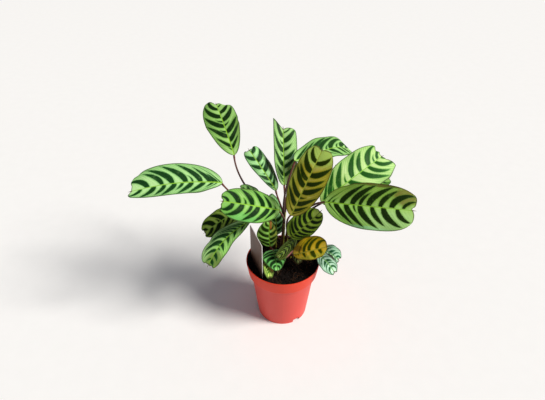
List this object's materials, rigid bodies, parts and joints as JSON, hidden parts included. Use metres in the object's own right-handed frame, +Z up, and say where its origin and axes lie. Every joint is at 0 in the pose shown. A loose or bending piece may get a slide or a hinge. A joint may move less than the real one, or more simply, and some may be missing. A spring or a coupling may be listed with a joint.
{
  "type": "potted ctenanthe plant",
  "caption": "Leafy houseplant with blunt herringbone-patterned leaves on thin stalks, growing from the soil of a tapered plastic nursery pot beside a plain plant label.",
  "frame": {"origin": "on the pot's axis, on the surface that the pot stands on", "axes": "+Z up along the pot's axis; +Y away from the front view; +X to the right in the front view"},
  "size_m": [0.4038, 0.1762, 0.3345],
  "materials": {
    "pot": "satin orange-red plastic",
    "soil": "damp dark potting soil with pale fibres",
    "plant_label": "satin brown-grey card with a white edge",
    "stems": "smooth reddish-brown stalk",
    "fresh_leaf": "waxy pale green with dark green blotches",
    "olive_leaf": "waxy olive with blackish green blotches",
    "shaded_leaf": "waxy mid green with blackish green blotches",
    "bluish_leaf": "waxy pale blue-green with dark green blotches",
    "yellowing_leaf": "ochre yellow with green blotches",
    "withered_leaf": "dry brown leaf"
  },
  "bodies": {
    "root": {"leaf_arching_back": "fresh_leaf", "leaf_behind_left": "bluish_leaf", "leaf_centre": "shaded_leaf", "leaf_curled": "fresh_leaf", "leaf_dark_left": "shaded_leaf", "leaf_dark_small": "shaded_leaf", "leaf_far_left": "fresh_leaf", "leaf_front": "bluish_leaf", "leaf_low_right_back": "bluish_leaf", "leaf_low_right_front": "bluish_leaf", "leaf_lower_left": "fresh_leaf", "leaf_middle_left": "fresh_leaf", "leaf_olive": "olive_leaf", "leaf_on_soil": "yellowing_leaf", "leaf_pointed": "fresh_leaf", "leaf_right_behind": "fresh_leaf", "leaf_right_lower": "fresh_leaf", "leaf_right_upper": "fresh_leaf", "leaf_rolled": "fresh_leaf", "leaf_tall_left": "fresh_leaf", "leaf_under_olive": "shaded_leaf", "leaf_withered": "withered_leaf", "leaf_yellow": "yellowing_leaf", "plant_label": "plant_label", "pot": "pot", "soil": "soil", "stems_left": "stems", "stems_low_left": "stems", "stems_low_right": "stems", "stems_main": "stems", "stems_right": "stems"}
  },
  "joints": []
}
